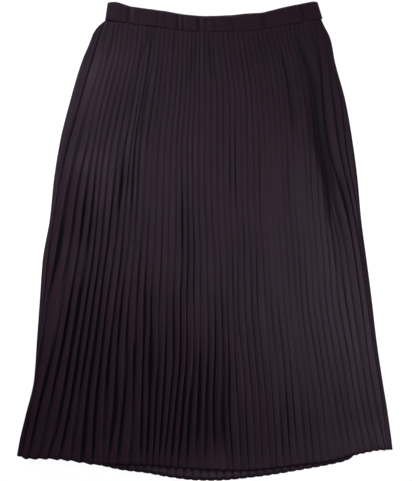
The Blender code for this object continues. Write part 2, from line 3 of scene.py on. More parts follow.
import bmesh
import bpy
import numpy as np
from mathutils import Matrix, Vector


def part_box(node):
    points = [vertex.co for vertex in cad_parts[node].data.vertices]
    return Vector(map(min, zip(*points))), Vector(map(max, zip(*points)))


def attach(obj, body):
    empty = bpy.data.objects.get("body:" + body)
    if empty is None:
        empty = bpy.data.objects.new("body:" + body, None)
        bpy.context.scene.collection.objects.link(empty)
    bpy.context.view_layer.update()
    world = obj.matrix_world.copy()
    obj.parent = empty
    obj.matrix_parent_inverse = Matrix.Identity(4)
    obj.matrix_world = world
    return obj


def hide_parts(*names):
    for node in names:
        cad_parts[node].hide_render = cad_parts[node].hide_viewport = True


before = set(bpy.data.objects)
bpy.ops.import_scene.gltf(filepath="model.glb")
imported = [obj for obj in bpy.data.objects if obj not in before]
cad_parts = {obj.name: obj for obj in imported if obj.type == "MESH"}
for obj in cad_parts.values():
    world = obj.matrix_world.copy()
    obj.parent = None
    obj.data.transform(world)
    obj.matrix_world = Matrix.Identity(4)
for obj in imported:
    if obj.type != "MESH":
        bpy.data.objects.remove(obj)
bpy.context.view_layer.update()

# Lengths are metres. A drop is counted down the skirt from the waistband's highest corner.
skirt = {
    "folds": (-1, 47),  # first and last fold across the front, numbered from the left
    "outline": [  # drop, left side, right side
        (0.034, -0.1750, 0.2030),
        (0.041, -0.1840, 0.2060),
        (0.055, -0.1942, 0.2138),
        (0.069, -0.1992, 0.2188),
        (0.103, -0.2132, 0.2248),
        (0.172, -0.2332, 0.2428),
        (0.241, -0.2502, 0.2548),
        (0.310, -0.2612, 0.2638),
        (0.378, -0.2682, 0.2698),
        (0.447, -0.2802, 0.2788),
        (0.516, -0.2852, 0.2878),
        (0.585, -0.2902, 0.2958),
        (0.654, -0.2952, 0.3058),
        (0.722, -0.3112, 0.3168),
        (0.757, -0.3192, 0.3212),
        (0.774, -0.3220, 0.3228),
    ],
    "guideDrops": [0.030, 0.069, 0.103, 0.172, 0.258, 0.344, 0.430, 0.516, 0.602, 0.688, 0.800],
    "guides": {  # fold number: its x at each of those drops
        -1: [-0.172, -0.187, -0.196, -0.215, -0.240, -0.257, -0.270, -0.279, -0.288, -0.299, -0.322],
        0: [-0.166, -0.175, -0.181, -0.200, -0.222, -0.239, -0.253, -0.270, -0.283, -0.298, -0.321],
        1: [-0.156, -0.162, -0.170, -0.187, -0.206, -0.222, -0.234, -0.251, -0.265, -0.284, -0.307],
        3: [-0.141, -0.146, -0.151, -0.167, -0.184, -0.193, -0.203, -0.217, -0.232, -0.246, -0.272],
        5: [-0.122, -0.127, -0.132, -0.146, -0.163, -0.172, -0.181, -0.193, -0.205, -0.218, -0.234],
        8: [-0.100, -0.102, -0.105, -0.115, -0.129, -0.136, -0.144, -0.155, -0.165, -0.172, -0.177],
        9: [-0.091, -0.095, -0.098, -0.110, -0.122, -0.127, -0.134, -0.144, -0.151, -0.155, -0.168],
        12: [-0.068, -0.071, -0.074, -0.081, -0.091, -0.095, -0.100, -0.105, -0.108, -0.110, -0.113],
        17: [-0.029, -0.031, -0.031, -0.034, -0.040, -0.040, -0.040, -0.043, -0.043, -0.050, -0.060],
        20: [-0.009, -0.009, -0.010, -0.010, -0.012, -0.012, -0.009, -0.009, -0.009, -0.012, -0.017],
        23: [0.012, 0.014, 0.017, 0.021, 0.021, 0.022, 0.026, 0.028, 0.029, 0.028, 0.033],
        26: [0.036, 0.041, 0.045, 0.052, 0.052, 0.053, 0.057, 0.057, 0.062, 0.069, 0.074],
        32: [0.086, 0.093, 0.100, 0.108, 0.112, 0.114, 0.119, 0.124, 0.132, 0.139, 0.147],
        38: [0.136, 0.144, 0.153, 0.163, 0.170, 0.174, 0.181, 0.186, 0.198, 0.212, 0.227],
        42: [0.167, 0.175, 0.184, 0.196, 0.205, 0.212, 0.222, 0.229, 0.244, 0.258, 0.279],
        44: [0.182, 0.187, 0.193, 0.202, 0.210, 0.221, 0.243, 0.255, 0.267, 0.280, 0.304],
        45: [0.189, 0.196, 0.200, 0.205, 0.215, 0.239, 0.256, 0.268, 0.279, 0.292, 0.316],
        46: [0.196, 0.208, 0.214, 0.220, 0.232, 0.251, 0.267, 0.279, 0.291, 0.305, 0.318],
        47: [0.200, 0.213, 0.220, 0.234, 0.243, 0.259, 0.274, 0.285, 0.296, 0.310, 0.319],
    },
    "waistSeam": [  # x, drop
        (-0.175, 0.0318), (-0.112, 0.0408), (-0.069, 0.0460), (-0.036, 0.0510), (0.002, 0.0528),
        (0.046, 0.0520), (0.096, 0.0492), (0.138, 0.0408), (0.172, 0.0350), (0.205, 0.0285),
    ],
    "rise": [  # share of the way down, how far the front lies above the floor
        (0.00, 0.0030), (0.04, 0.0028), (0.08, 0.0034), (0.16, 0.0054), (0.30, 0.0068),
        (0.60, 0.0078), (0.92, 0.0083), (1.00, 0.0122),
    ],
    "tooth": 0.0014,  # how far a ridge's hem hangs below its valley's
    "sideRoom": 0.0012,  # distance between folds that run off a side and gather along it
}

frontPanel = {
    "cloth": 0.0006,
    "rows": 88,
    "hem": [  # x, drop
        (-0.322, 0.7850), (-0.304, 0.7902), (-0.268, 0.7902), (-0.236, 0.7928), (-0.181, 0.8006),
        (-0.106, 0.8018), (-0.057, 0.8054), (0.002, 0.8098), (0.060, 0.8118), (0.112, 0.8080),
        (0.169, 0.8012), (0.213, 0.7962), (0.243, 0.7876), (0.278, 0.7792), (0.300, 0.7754),
        (0.325, 0.7746),
    ],
    "shade": 1.5,  # length of a ridge's shadow on level cloth, as a share of its height
    "faceFolds": [2, 9, 17, 25, 34, 42, 46],
    "faces": [  # drop, then how high those folds stand
        (0.050, 0.0004, 0.0004, 0.0005, 0.0006, 0.0006, 0.0006, 0.0005),
        (0.103, 0.0005, 0.0005, 0.0006, 0.0006, 0.0006, 0.0006, 0.0007),
        (0.172, 0.0007, 0.0007, 0.0006, 0.0006, 0.0006, 0.0006, 0.0010),
        (0.258, 0.0014, 0.0009, 0.0008, 0.0007, 0.0005, 0.0007, 0.0013),
        (0.344, 0.0022, 0.0013, 0.0010, 0.0007, 0.0005, 0.0006, 0.0014),
        (0.430, 0.0026, 0.0017, 0.0012, 0.0009, 0.0006, 0.0006, 0.0012),
        (0.533, 0.0036, 0.0036, 0.0019, 0.0012, 0.0007, 0.0006, 0.0009),
        (0.636, 0.0042, 0.0042, 0.0036, 0.0019, 0.0009, 0.0007, 0.0007),
        (0.730, 0.0038, 0.0046, 0.0038, 0.0023, 0.0011, 0.0008, 0.0007),
        (0.765, 0.0032, 0.0038, 0.0032, 0.0021, 0.0011, 0.0008, 0.0007),
        (0.800, 0.0022, 0.0024, 0.0020, 0.0014, 0.0010, 0.0008, 0.0006),
    ],
    "returns": [  # drop, then the part of those pleats' width taken by their far side
        (0.050, 0.30, 0.30, 0.28, 0.28, 0.28, 0.28, 0.30),
        (0.172, 0.40, 0.32, 0.28, 0.28, 0.28, 0.28, 0.30),
        (0.344, 0.42, 0.34, 0.30, 0.28, 0.28, 0.28, 0.30),
        (0.430, 0.40, 0.36, 0.32, 0.28, 0.28, 0.28, 0.28),
        (0.533, 0.38, 0.38, 0.32, 0.29, 0.28, 0.28, 0.28),
        (0.636, 0.40, 0.40, 0.40, 0.34, 0.28, 0.28, 0.28),
        (0.730, 0.38, 0.40, 0.40, 0.34, 0.30, 0.30, 0.30),
        (0.800, 0.40, 0.38, 0.34, 0.32, 0.32, 0.32, 0.32),
    ],
    # fold, drop, half length, then the change of its height, of its far side and of its painted shade
    "accents": [
        (-1, 0.100, 0.100, -0.2, 0.0, -0.8), (0, 0.100, 0.100, -0.2, 0.0, -0.8),
        (-1, 0.330, 0.090, -0.5, -0.5, -0.5), (0, 0.335, 0.090, 1.2, -0.2, -0.35),
        (1, 0.335, 0.090, 1.0, -0.2, -0.35), (2, 0.330, 0.080, 0.7, -0.1, -0.25),
        (3, 0.320, 0.070, 0.4, 0.0, -0.15), (9, 0.300, 0.160, 0.3, 0.3, 0.1),
        (10, 0.250, 0.200, 0.5, 0.6, 0.2), (11, 0.240, 0.200, 0.5, 0.7, 0.2),
        (12, 0.270, 0.160, -0.5, 0.0, -0.3), (13, 0.620, 0.060, 0.5, 0.9, 0.3),
        (10, 0.740, 0.060, -0.4, 0.2, 0.0), (11, 0.740, 0.060, -0.3, 0.2, 0.0),
        (2, 0.745, 0.040, -0.3, 0.2, -0.2), (3, 0.745, 0.040, -0.3, 0.2, -0.2),
        (20, 0.100, 0.050, 0.4, 0.4, 0.1), (21, 0.110, 0.050, 0.4, 0.4, 0.1),
        (46, 0.300, 0.120, 0.5, 0.2, 0.2), (44, 0.430, 0.110, 0.5, 0.2, 0.2),
        (17, 0.360, 0.110, 0.4, 0.4, 0.5), (20, 0.260, 0.130, 0.4, 0.5, 0.5),
        (7, 0.320, 0.060, 0.4, 0.5, 0.3), (33, 0.300, 0.120, -0.4, 0.0, -0.3),
        (34, 0.300, 0.120, -0.4, 0.0, -0.3), (35, 0.330, 0.120, 0.5, 0.3, 0.6),
        (30, 0.300, 0.110, 0.5, 0.3, 0.5), (26, 0.290, 0.100, 0.5, 0.3, 0.5),
        (37, 0.360, 0.120, -0.4, 0.0, -0.4), (38, 0.360, 0.120, -0.4, 0.0, -0.4),
        (18, 0.700, 0.130, 0.3, 0.1, 0.2), (19, 0.700, 0.130, 0.4, 0.3, 0.3),
        (20, 0.700, 0.140, 0.6, 0.5, 0.4), (21, 0.700, 0.140, 0.7, 0.5, 0.2),
        (22, 0.690, 0.130, 0.6, 0.6, 0.1), (23, 0.690, 0.120, 0.6, 0.5, 0.1),
        (24, 0.680, 0.110, 0.4, 0.3, 0.3), (3, 0.500, 0.180, 0.1, 0.3, 0.1),
        (6, 0.600, 0.150, 0.1, 0.3, 0.2),
    ],
    "profile": [  # share of the way from valley to ridge, share of the height
        (0.00, 0.00), (0.06, 0.04), (0.50, 0.50), (0.94, 0.95), (1.00, 1.00),
    ],
    "returnProfile": [(0.30, 0.84), (0.75, 0.16)],
    "sideFold": [
        (0.050, 0.0004), (0.103, 0.0009), (0.172, 0.0014), (0.344, 0.0018), (0.602, 0.0016),
        (0.757, 0.0010),
    ],
    "sideProfile": [
        (0.06, 0.30), (0.14, 0.72), (0.24, 0.98), (0.34, 1.00), (0.55, 0.80), (0.80, 0.34),
        (1.00, 0.06),
    ],
    "rightProfile": [(0.00, 0.0), (0.30, 0.3), (0.60, 0.5), (0.80, 0.4), (0.92, 0.0)],
    "rightHeight": 0.0015,  # of the last strip, between the last fold and the right side
    "fringe": 0.0003,  # width in which both side edges drop to the back panel
    "clear": (0.0012, 0.0007),  # height over the back panel's top, above and at the hem
    "sideFade": (0.002, 0.006),  # pleats start this far from a side, and are full that much further in
    "fullPitch": 0.007,  # pleats closer together than this are lower
    "patchiness": 0.30,  # how far folds stray from their painted shade, as a share of it
    "widthPatchiness": 0.18,  # how far their far sides stray from their width, as a share of it
    "unevenness": 0.18,  # how far pleats stray from their height, as a share of it
    "wander": 0.0005,  # how far a fold strays sideways
    "deep": 0.0034,  # pleats this high get full painted shade inside
    "hemFade": 0.30,  # how much of that painted shade is lost at the hem
    "tuck": 0.0030,  # length hidden under the waistband, also of the back panel
    "streaks": {  # soft creases with painted shade: how dark that shade is, how deep they are, then drop, x and half width along them
        "leftRim": (0.45, 0.0008, [(0.048, -0.1875, 0.0043), (0.086, -0.1995, 0.0052),
            (0.120, -0.2073, 0.0052), (0.172, -0.2202, 0.0043), (0.198, -0.2253, 0.0034)]),
        "leftSoft": (0.35, 0.0005, [(0.048, -0.1703, 0.0052), (0.086, -0.1840, 0.0060),
            (0.129, -0.1944, 0.0034)]),
        "leftSecond": (0.35, 0.0004, [(0.041, -0.1462, 0.0043), (0.069, -0.1582, 0.0052),
            (0.103, -0.1668, 0.0034)]),
        "leftPatch": (0.55, 0.0004, [(0.193, -0.2236, 0.0026), (0.224, -0.2305, 0.0052),
            (0.249, -0.2356, 0.0060), (0.275, -0.2442, 0.0052), (0.296, -0.2528, 0.0021)]),
        "leftPatchSecond": (0.50, 0.0004, [(0.203, -0.2081, 0.0034), (0.232, -0.2133, 0.0052),
            (0.258, -0.2210, 0.0060), (0.284, -0.2288, 0.0034)]),
        "pairBroad": (0.55, 0.0008, [(0.065, -0.0998, 0.0017), (0.103, -0.1101, 0.0043),
            (0.138, -0.1170, 0.0052), (0.172, -0.1238, 0.0043), (0.198, -0.1290, 0.0034)]),
        "pairNarrow": (0.85, 0.0008, [(0.052, -0.0860, 0.0021), (0.077, -0.0929, 0.0026),
            (0.103, -0.0963, 0.0031), (0.148, -0.1015, 0.0031), (0.193, -0.1084, 0.0026),
            (0.241, -0.1127, 0.0021)]),
        "darkPatch": (0.70, 0.0005, [(0.241, -0.1393, 0.0026), (0.275, -0.1410, 0.0052),
            (0.301, -0.1428, 0.0060), (0.335, -0.1462, 0.0043), (0.370, -0.1514, 0.0026)]),
        "underFirstGather": (0.70, 0.0004, [(0.048, -0.0972, 0.0017), (0.062, -0.0972, 0.0028),
            (0.077, -0.0998, 0.0017)]),
        "underGather": (0.60, 0.0005, [(0.055, -0.0482, 0.0021), (0.072, -0.0516, 0.0031),
            (0.086, -0.0550, 0.0021)]),
        "softTrough": (0.35, 0.0005, [(0.095, -0.0722, 0.0034), (0.138, -0.0722, 0.0069),
            (0.172, -0.0740, 0.0069), (0.224, -0.0774, 0.0052), (0.292, -0.0826, 0.0052),
            (0.335, -0.0894, 0.0052), (0.370, -0.0963, 0.0069), (0.413, -0.0980, 0.0034)]),
        "middleLeft": (0.70, 0.0007, [(0.069, -0.0138, 0.0026), (0.095, -0.0189, 0.0060),
            (0.120, -0.0224, 0.0060), (0.138, -0.0249, 0.0034)]),
        "middleRight": (0.65, 0.0007, [(0.062, 0.0069, 0.0026), (0.086, 0.0120, 0.0052),
            (0.112, 0.0146, 0.0052), (0.138, 0.0181, 0.0026)]),
        "rightSoft": (0.50, 0.0005, [(0.062, 0.0929, 0.0043), (0.086, 0.0998, 0.0069),
            (0.120, 0.1101, 0.0052), (0.163, 0.1204, 0.0034), (0.189, 0.1273, 0.0026)]),
        "rightSecond": (0.60, 0.0004, [(0.058, 0.1084, 0.0017), (0.086, 0.1161, 0.0028),
            (0.120, 0.1247, 0.0026), (0.155, 0.1299, 0.0017)]),
        "rightLine": (0.90, 0.0009, [(0.083, 0.1324, 0.0017), (0.103, 0.1359, 0.0034),
            (0.129, 0.1419, 0.0043), (0.155, 0.1453, 0.0043), (0.194, 0.1496, 0.0038),
            (0.232, 0.1531, 0.0021)]),
        "rightShade": (0.35, 0.0003, [(0.103, 0.1462, 0.0052), (0.146, 0.1582, 0.0086),
            (0.189, 0.1634, 0.0069)]),
        "bigTrough": (0.85, 0.0010, [(0.052, 0.1582, 0.0026), (0.077, 0.1643, 0.0043),
            (0.103, 0.1737, 0.0069), (0.129, 0.1823, 0.0086), (0.155, 0.1892, 0.0095),
            (0.193, 0.1926, 0.0086), (0.241, 0.1995, 0.0069), (0.292, 0.2081, 0.0052),
            (0.344, 0.2133, 0.0043), (0.387, 0.2167, 0.0026)]),
        "bigLine": (0.90, 0.0005, [(0.048, 0.1840, 0.0017), (0.077, 0.1926, 0.0026),
            (0.103, 0.1969, 0.0026), (0.138, 0.2012, 0.0028), (0.189, 0.2038, 0.0028),
            (0.241, 0.2098, 0.0028), (0.284, 0.2167, 0.0024), (0.344, 0.2339, 0.0021)]),
        "outerSoft": (0.40, 0.0004, [(0.069, 0.2098, 0.0026), (0.103, 0.2150, 0.0038),
            (0.138, 0.2184, 0.0034), (0.189, 0.2270, 0.0026)]),
        "lowerMiddle": (0.35, 0.0005, [(0.630, 0.0292, 0.0034), (0.662, 0.0275, 0.0069),
            (0.705, 0.0284, 0.0086), (0.740, 0.0292, 0.0077), (0.771, 0.0327, 0.0043)]),
        "lowerLeft": (0.35, 0.0003, [(0.576, -0.0929, 0.0043), (0.619, -0.0912, 0.0060),
            (0.667, -0.0894, 0.0034)]),
    },
    "swells": {  # lines running down the cloth: drop, x, height over the plain level
        "leftRoll": [
            (0.052, -0.166, 0.0002), (0.082, -0.172, 0.0006), (0.112, -0.177, 0.0026),
            (0.155, -0.181, 0.0056), (0.198, -0.186, 0.0064), (0.249, -0.198, 0.0022),
            (0.300, -0.204, 0.0070), (0.345, -0.208, 0.0080), (0.385, -0.214, 0.0060),
            (0.430, -0.222, 0.0036), (0.533, -0.232, 0.0026), (0.740, -0.249, 0.0014),
            (0.808, -0.258, 0.0008),
        ],
        "leftMiddle": [
            (0.052, -0.112, 0.0004), (0.082, -0.114, 0.0006), (0.112, -0.116, 0.0022),
            (0.155, -0.119, 0.0030), (0.249, -0.124, 0.0016), (0.300, -0.129, 0.0046),
            (0.345, -0.134, 0.0052), (0.430, -0.141, 0.0022), (0.533, -0.150, 0.0022),
            (0.740, -0.163, 0.0018), (0.808, -0.167, 0.0000),
        ],
        "middle": [
            (0.052, -0.017, 0.0003), (0.090, -0.014, 0.0003), (0.155, -0.009, 0.0014),
            (0.249, 0.000, 0.0024), (0.430, 0.017, 0.0020), (0.636, 0.026, 0.0025),
            (0.740, 0.029, 0.0020), (0.808, 0.031, 0.0000),
        ],
        "crest": [
            (0.052, 0.052, 0.0004), (0.088, 0.069, 0.0006), (0.120, 0.087, 0.0016),
            (0.155, 0.108, 0.0042), (0.198, 0.136, 0.0084), (0.249, 0.163, 0.0094),
            (0.327, 0.184, 0.0082), (0.430, 0.202, 0.0066), (0.533, 0.219, 0.0050),
            (0.740, 0.244, 0.0026), (0.808, 0.249, 0.0000),
        ],
        "troughEdge": [
            (0.052, 0.130, 0.0002), (0.088, 0.139, 0.0006), (0.120, 0.149, 0.0016),
            (0.155, 0.160, 0.0040), (0.198, 0.172, 0.0074), (0.249, 0.182, 0.0084),
            (0.327, 0.202, 0.0066), (0.430, 0.218, 0.0056), (0.533, 0.238, 0.0042),
            (0.740, 0.266, 0.0020), (0.808, 0.270, 0.0000),
        ],
        "trough": [
            (0.052, 0.164, 0.0000), (0.103, 0.180, 0.0002), (0.155, 0.191, 0.0004),
            (0.198, 0.196, 0.0005), (0.249, 0.202, 0.0010), (0.327, 0.218, 0.0020),
            (0.430, 0.232, 0.0028), (0.533, 0.253, 0.0024), (0.740, 0.284, 0.0014),
            (0.808, 0.288, 0.0000),
        ],
        "bigFoldTop": [
            (0.052, 0.190, 0.0002), (0.103, 0.198, 0.0014), (0.179, 0.202, 0.0024),
            (0.234, 0.207, 0.0032), (0.303, 0.223, 0.0040), (0.399, 0.249, 0.0044),
            (0.509, 0.266, 0.0034), (0.740, 0.294, 0.0014),
        ],
        "bigFoldFoot": [
            (0.052, 0.193, 0.0002), (0.103, 0.202, 0.0004), (0.179, 0.206, 0.0006),
            (0.234, 0.211, 0.0010), (0.303, 0.227, 0.0018), (0.399, 0.253, 0.0024),
            (0.509, 0.270, 0.0022), (0.740, 0.298, 0.0012),
        ],
        "rightShoulder": [
            (0.052, 0.198, 0.0001), (0.103, 0.207, 0.0010), (0.179, 0.216, 0.0020),
            (0.249, 0.229, 0.0024), (0.327, 0.245, 0.0030), (0.430, 0.263, 0.0028),
            (0.533, 0.280, 0.0020), (0.740, 0.305, 0.0008),
        ],
    },
}

backPanel = {
    "cloth": 0.0006,
    "rows": 60,
    "pleats": 46,
    "hem": [  # x, drop
        (-0.320, 0.7800), (-0.249, 0.7901), (-0.181, 0.8016), (-0.140, 0.8094), (-0.100, 0.8142),
        (-0.064, 0.8208), (-0.012, 0.8267), (0.014, 0.8271), (0.086, 0.8210), (0.169, 0.8080),
        (0.242, 0.7931), (0.270, 0.7780), (0.320, 0.7700),
    ],
    "tooth": 0.0008,
    "phase": 0.20,  # where its first pleat starts, as a share of a pleat
    "clear": 0.0013,  # from its ridges up to the folds of the front
    "sideTurn": (0.0002, 0.0012),  # width of the steep and of the shallow part of its side edges
    "open": 0.94,  # how far its pleats open beyond the front's hem
    "openFrom": 0.014,  # they start to open this far inside that hem
    "openOver": 0.012,
    "lift": 0.0026,  # how far its hem rises beyond the front's
    "liftOver": 0.006,
    # share of a pleat's width from its resting edge, share of its height, how much painted shade it gets
    # there
    "profile": [
        (0.00, 0.00, 0.0), (0.14, 0.00, 0.0), (0.22, 0.30, 0.8), (0.27, 0.74, 0.3), (0.32, 0.92, 0.0),
        (0.45, 0.97, 0.0), (0.72, 1.00, 0.0), (0.84, 0.98, 0.0), (0.90, 0.80, 0.0), (0.96, 0.24, 0.0),
    ],
}

waistBand = {
    "cloth": 0.0007,
    "around": 420,
    "ends": {"seam": (-0.1735, 0.2040), "top": (-0.1690, 0.1955)},
    "top": [  # x, drop
        (-0.169, 0.0014), (-0.158, 0.0000), (-0.128, 0.0077), (-0.099, 0.0121), (-0.064, 0.0173),
        (-0.036, 0.0224), (0.002, 0.0254), (0.047, 0.0237), (0.069, 0.0211), (0.097, 0.0192),
        (0.116, 0.0147), (0.138, 0.0091), (0.171, 0.0024), (0.190, -0.0006), (0.1955, 0.0010),
    ],
    "rearRise": 0.0016,
    "frontLevel": 0.0060,  # height of its front face
    "fullGroove": 0.001,  # a gather this deep gets full painted shade
    "profile": [  # share of the way up, how far the cloth pulls in there
        (0.00, 0.0006), (0.04, 0.0002), (0.10, 0.0001), (0.20, 0.0), (0.50, 0.0), (0.80, 0.0),
        (0.92, 0.0001), (0.97, 0.0005), (1.00, 0.0013),
    ],
    "frontGathers": [  # x, depth, half width, lean from the seam to the top
        (-0.1445, 0.0003, 0.0030, 0.001), (-0.1330, 0.0009, 0.0036, 0.001),
        (-0.1140, 0.0003, 0.0034, 0.001), (-0.1000, 0.0002, 0.0030, 0.000),
        (-0.0808, 0.0004, 0.0030, 0.000), (-0.0690, 0.0002, 0.0026, 0.000),
        (-0.0462, 0.0011, 0.0024, -0.001), (-0.0364, 0.0007, 0.0022, -0.001),
        (-0.0240, 0.0002, 0.0030, 0.001), (-0.0090, 0.0012, 0.0034, -0.001),
        (0.0040, 0.0006, 0.0024, -0.001), (0.0190, 0.0004, 0.0030, 0.000),
        (0.0413, 0.0005, 0.0024, -0.003), (0.0540, 0.0011, 0.0028, -0.0077),
        (0.0720, 0.0003, 0.0034, -0.002), (0.0877, 0.0003, 0.0030, -0.002),
        (0.1050, 0.0009, 0.0040, -0.003), (0.1240, 0.0003, 0.0034, -0.002),
        (0.1420, 0.0003, 0.0034, -0.003), (0.1560, 0.0003, 0.0034, -0.002),
        (0.1750, 0.0010, 0.0036, -0.005), (0.1880, 0.0005, 0.0024, -0.004),
    ],
    "backGathers": [
        (-0.146, 0.0006, 0.0030, 0.001), (-0.121, 0.0004, 0.0030, 0.000),
        (-0.096, 0.0006, 0.0026, 0.002), (-0.070, 0.0005, 0.0030, -0.001),
        (-0.041, 0.0006, 0.0026, -0.001), (-0.019, 0.0004, 0.0030, 0.001),
        (0.013, 0.0006, 0.0026, -0.001), (0.037, 0.0005, 0.0030, 0.000),
        (0.060, 0.0004, 0.0030, 0.000), (0.091, 0.0006, 0.0026, -0.002),
        (0.114, 0.0005, 0.0030, 0.001), (0.139, 0.0006, 0.0028, -0.002),
        (0.164, 0.0004, 0.0030, 0.000),
    ],
}

view = {
    "height": 1.25,  # camera above the cloth
    "centre": (0.0017, 0.4137),  # x and drop straight below it
    "span": 0.8273,  # length of cloth from the top to the bottom of the view
    "level": 0.014,  # height where that is measured
    "sensor": 36,  # millimetres
}


class smoothCurve:
    # passes through its points without overshooting them, straight past the ends
    def __init__(self, points):
        self.at, self.value = np.array(sorted(points), float).T
        rise = np.diff(self.value) / np.diff(self.at)
        both = rise[:-1] * rise[1:] > 0
        inner = np.where(both, 2 * rise[:-1] * rise[1:] / np.where(both, rise[:-1] + rise[1:], 1), 0)
        self.slope = np.concatenate([rise[:1], inner, rise[-1:]])

    def __call__(self, x):
        x = np.asarray(x, float)
        i = np.clip(np.searchsorted(self.at, x, side="right") - 1, 0, len(self.at) - 2)
        width = self.at[i + 1] - self.at[i]
        t = (x - self.at[i]) / width
        inside = np.clip(t, 0, 1)
        low, high = self.value[i], self.value[i + 1]
        curve = low + (high - low) * inside ** 2 * (3 - 2 * inside)
        curve += self.slope[i] * width * inside * (1 - inside) ** 2
        curve += self.slope[i + 1] * width * inside ** 2 * (inside - 1)
        return curve + np.where(t > inside, self.slope[i + 1], self.slope[i]) * width * (t - inside)


def edgeCurve(points):
    curve = smoothCurve(points)
    return lambda x: curve(np.clip(x, curve.at[0], curve.at[-1]))  # level past its ends


def mix(low, high, share):
    return low + (high - low) * share


def smoothStep(share):
    share = np.clip(share, 0, 1)
    return share * share * (3 - 2 * share)


def bump(distance):
    return np.clip(1 - distance ** 2, 0, 1) ** 2


def wander(seed, count, waves, places):
    # one smooth random line for each fold, about 1 high
    chance = np.random.default_rng(seed)
    knots = np.linspace(0, 1, waves + 1)
    lines = [smoothCurve(zip(knots, chance.normal(0, 1, waves + 1))) for _ in range(count)]
    return np.array([line(places) for line in lines])


# Folds as functions of the drop
dropStep = 0.002
acrossStep = 0.001
dropGrid = np.arange(0, 0.9, dropStep)
acrossGrid = np.arange(-0.34, 0.34, acrossStep)
leftSide = smoothCurve([(drop, left) for drop, left, right in skirt["outline"]])
rightSide = smoothCurve([(drop, right) for drop, left, right in skirt["outline"]])
waistSeam = edgeCurve(skirt["waistSeam"])
frontHem = edgeCurve(frontPanel["hem"])
backTop = smoothCurve(skirt["rise"])
foldNumbers = np.arange(skirt["folds"][0], skirt["folds"][1] + 1)


def foldTable():
    # x of the left side, of each fold and of the right side, at every drop of dropGrid
    drops = skirt["guideDrops"]
    guides = {number: smoothCurve(zip(drops, line)) for number, line in skirt["guides"].items()}
    first, last = skirt["folds"]
    lines = []
    for drop in dropGrid:
        left, right = leftSide(drop), rightSide(drop)
        x = smoothCurve([(number, line(drop)) for number, line in guides.items()])(foldNumbers)
        x = np.maximum(x, left + skirt["sideRoom"] * (foldNumbers - first + 1))
        x = np.minimum(x, right - skirt["sideRoom"] * (last + 1 - foldNumbers))
        lines.append(np.concatenate([[left], x, [right]]))
    return np.array(lines)


folds = foldTable()


def foldsAt(drops):
    return np.array([np.interp(drop, dropGrid, folds[:, i]) for i, drop in enumerate(drops)])


def settle(hem, share, offset=0):
    # x and drop of every fold where it crosses one row
    drops = np.full(folds.shape[1], mix(waistSeam(0), hem(0), share))
    for _ in range(8):
        x = foldsAt(drops) + offset
        drops = mix(waistSeam(x), hem(x), share)
    return x, drops


def reliefTable():
    # height of the swells at every drop of dropGrid and place of acrossGrid
    lines = [(edgeCurve([(d, x) for d, x, z in line]), edgeCurve([(d, z) for d, x, z in line]))
             for line in frontPanel["swells"].values()]
    heights = []
    for drop in dropGrid:
        knots = [(float(leftSide(drop)), 0)] + [(float(x(drop)), float(z(drop))) for x, z in lines]
        heights.append(edgeCurve(knots + [(float(rightSide(drop)), 0)])(acrossGrid))
    return np.array(heights)


swells = reliefTable()


def relief(x, drop):
    i = np.clip((drop - dropGrid[0]) / dropStep, 0, len(dropGrid) - 1.001)
    j = np.clip((x - acrossGrid[0]) / acrossStep, 0, len(acrossGrid) - 1.001)
    row, column = i.astype(int), j.astype(int)
    a, b = i - row, j - column
    upper = mix(swells[row, column], swells[row, column + 1], b)
    lower = mix(swells[row + 1, column], swells[row + 1, column + 1], b)
    return mix(upper, lower, a)


def gridPiece(name, points, cloth, marks, closed=False, outwards=1):
    # a grid whose corners are moved to points[row, column]; cloth holds each corner's place
    # on the flat cloth, and each of the marks has one value for every corner
    rows, columns = points.shape[:2]
    work = bmesh.new()
    bmesh.ops.create_grid(work, x_segments=columns - 1, y_segments=rows - 1, size=0.5)
    layer = work.loops.layers.uv.new("cloth")
    notes = {mark: work.verts.layers.float.new(mark) for mark in marks}
    place = {}
    for corner in work.verts:
        place[corner] = round((corner.co.y + 0.5) * (rows - 1)), round((corner.co.x + 0.5) * (columns - 1))
    for face in work.faces:
        for loop in face.loops:
            loop[layer].uv = cloth[place[loop.vert]]
    for corner, spot in place.items():
        corner.co = points[spot]
        for mark, note in notes.items():
            corner[note] = marks[mark][spot]
    if closed:
        bmesh.ops.remove_doubles(work, verts=work.verts, dist=1e-6)
    if outwards < 0:
        bmesh.ops.reverse_faces(work, faces=work.faces)
    mesh = bpy.data.meshes.new(name)
    work.to_mesh(mesh)
    work.free()
    mesh.shade_smooth()
    piece = bpy.data.objects.new(name, mesh)
    bpy.context.scene.collection.objects.link(piece)
    return piece


def giveThickness(piece, cloth, offset=0):
    wall = piece.modifiers.new("cloth", "SOLIDIFY")
    wall.thickness = cloth
    wall.offset = offset


def clothPlaces(points):
    # distance across the cloth, over every fold, and down it
    steps = np.linalg.norm(np.diff(points, axis=1), axis=2)
    across = np.concatenate([np.zeros((len(points), 1)), np.cumsum(steps, axis=1)], axis=1)
    across -= across.mean(axis=1, keepdims=True)
    down = np.cumsum(np.concatenate([[0], np.linalg.norm(np.diff(points.mean(axis=1), axis=0), axis=1)]))
    return np.dstack([across, np.repeat(down[:, None], points.shape[1], axis=1)])


def rowShares(count):
    # rows lie closer together near both ends
    t = np.linspace(0, 1, count)
    return mix(t, 0.5 - 0.5 * np.cos(math.pi * t), 0.45)


def foldCurves(rows):
    # one curve of the drop for each fold, from rows with a number for some of them
    rows = np.array(rows)
    known = frontPanel["faceFolds"]
    spread = np.array([edgeCurve(zip(known, row))(foldNumbers) for row in rows[:, 1:]])
    return [edgeCurve(zip(rows[:, 0], spread[:, i])) for i in range(len(foldNumbers))]


def accents(drops):
    # change of every fold's height, of its far side and of its darkness at those drops
    total = np.zeros((3, len(foldNumbers)))
    for number, middle, half, *changes in frontPanel["accents"]:
        i = number - foldNumbers[0]
        total[:, i] += np.array(changes) * bump((drops[i] - middle) / half)
    return 1 + total


